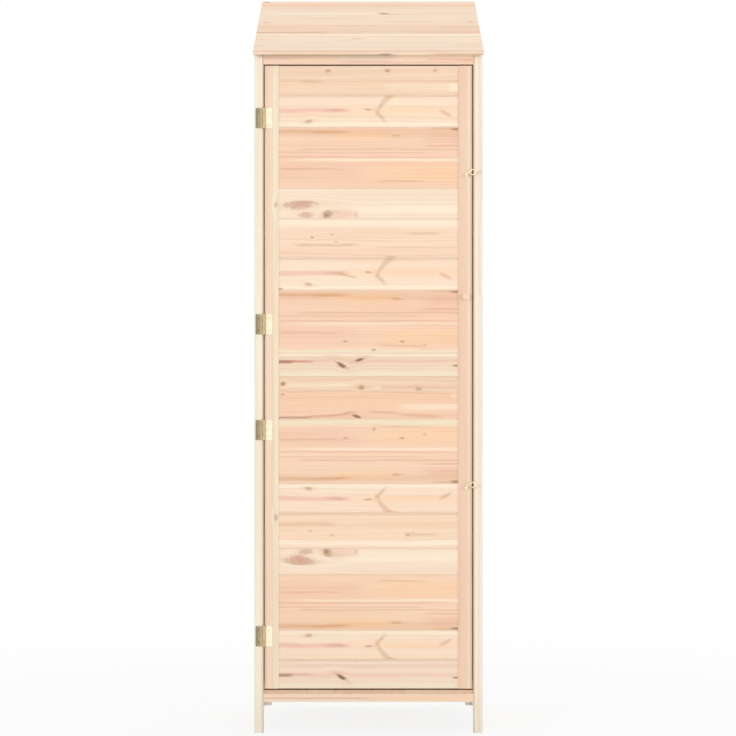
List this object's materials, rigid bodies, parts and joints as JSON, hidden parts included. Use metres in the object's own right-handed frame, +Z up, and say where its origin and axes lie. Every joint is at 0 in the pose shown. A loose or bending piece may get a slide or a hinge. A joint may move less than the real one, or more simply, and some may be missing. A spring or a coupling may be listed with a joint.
{
  "type": "garden_storage_cabinet",
  "caption": "Slim wooden garden storage cabinet with boarded sides, a sloping boarded roof, shelves and one tall boarded door held by small brass hooks",
  "frame": {"origin": "on the ground, under the middle of the roof's outline", "axes": "+Z up, +X to the right as seen from the front, +Y to the back; the door faces -Y"},
  "size_m": [0.526, 0.5496, 1.7447],
  "materials": {
    "post_wood": "planed softwood, untreated, pale straw",
    "roof_wood": "planed softwood boards, untreated",
    "rail_wood": "planed softwood, untreated, pinkish",
    "cladding_wood": "planed softwood boards, untreated",
    "inner_wood": "sawn softwood, untreated",
    "stile_wood": "planed softwood, untreated, fine straight grain",
    "door_wood_pink": "planed softwood board with knots, pinkish",
    "door_wood_cream": "planed softwood board with knots, pale cream",
    "door_wood_orange": "planed softwood board, orange heartwood",
    "door_wood_peach": "planed softwood board with knots, peach",
    "knob_wood": "turned beech, satin",
    "dowel_wood": "fluted beech",
    "hinge_brass": "brass-plated sheet, satin, olive tint",
    "hinge_brass_pale": "brass-plated sheet, bright",
    "wire_brass": "brass-plated wire, bright"
  },
  "bodies": {
    "cabinet": {"left_front_post_lower": "post_wood", "left_front_post_upper": "post_wood", "left_rear_post_lower": "post_wood", "left_rear_post_upper": "post_wood", "right_front_post_lower": "post_wood", "right_front_post_upper": "post_wood", "right_rear_post_lower": "post_wood", "right_rear_post_upper": "post_wood", "post_dowels": "dowel_wood", "left_side_boards_lower": "cladding_wood", "left_side_boards_upper": "cladding_wood", "right_side_boards_lower": "cladding_wood", "right_side_boards_upper": "cladding_wood", "back_boards_lower": "cladding_wood", "back_boards_upper": "cladding_wood", "front_top_rail": "rail_wood", "front_bottom_rail": "rail_wood", "rear_top_rail": "inner_wood", "rear_bottom_rail": "inner_wood", "roof_rails": "inner_wood", "floor_boards": "inner_wood", "shelf_battens": "inner_wood", "lower_shelf": "inner_wood", "middle_shelf": "inner_wood", "upper_shelf": "inner_wood", "roof_board_1": "roof_wood", "roof_board_2": "roof_wood", "roof_board_3": "roof_wood", "roof_board_4": "roof_wood", "roof_board_5": "roof_wood", "roof_board_6": "roof_wood", "hinge_post_leaves": "post_wood", "hinge_pins": "hinge_brass", "hook_pivot_eyes": "wire_brass"},
    "door": {"door_left_stile": "stile_wood", "door_right_stile": "stile_wood", "door_battens": "inner_wood", "door_board_01": "door_wood_pink", "door_board_02": "door_wood_peach", "door_board_03": "door_wood_orange", "door_board_04": "door_wood_cream", "door_board_05": "door_wood_peach", "door_board_06": "door_wood_peach", "door_board_07": "door_wood_orange", "door_board_08": "door_wood_pink", "door_board_09": "door_wood_peach", "door_board_10": "door_wood_pink", "door_board_11": "door_wood_orange", "door_board_12": "door_wood_peach", "door_board_13": "door_wood_peach", "door_board_14": "door_wood_cream", "door_board_15": "door_wood_orange", "door_board_16": "door_wood_peach", "door_board_17": "door_wood_pink", "hinge_door_leaves": "hinge_brass_pale", "hook_catch_eyes": "wire_brass", "door_knob": "knob_wood"},
    "upper_hook": {"upper_hook": "wire_brass"},
    "lower_hook": {"lower_hook": "wire_brass"}
  },
  "joints": [
    {"name": "door_hinge", "type": "hinge", "parent": "cabinet", "child": "door", "pos_m": [-0.23875, -0.2539, 0.814], "axis": [0, 0, -1], "range_deg": [0, 175]},
    {"name": "upper_hook_pivot", "type": "hinge", "parent": "cabinet", "child": "upper_hook", "pos_m": [0.2417, -0.2582, 1.2825], "axis": [0, 1, 0], "range_deg": [0, 120]},
    {"name": "lower_hook_pivot", "type": "hinge", "parent": "cabinet", "child": "lower_hook", "pos_m": [0.2417, -0.2582, 0.568], "axis": [0, 1, 0], "range_deg": [0, 120]}
  ]
}
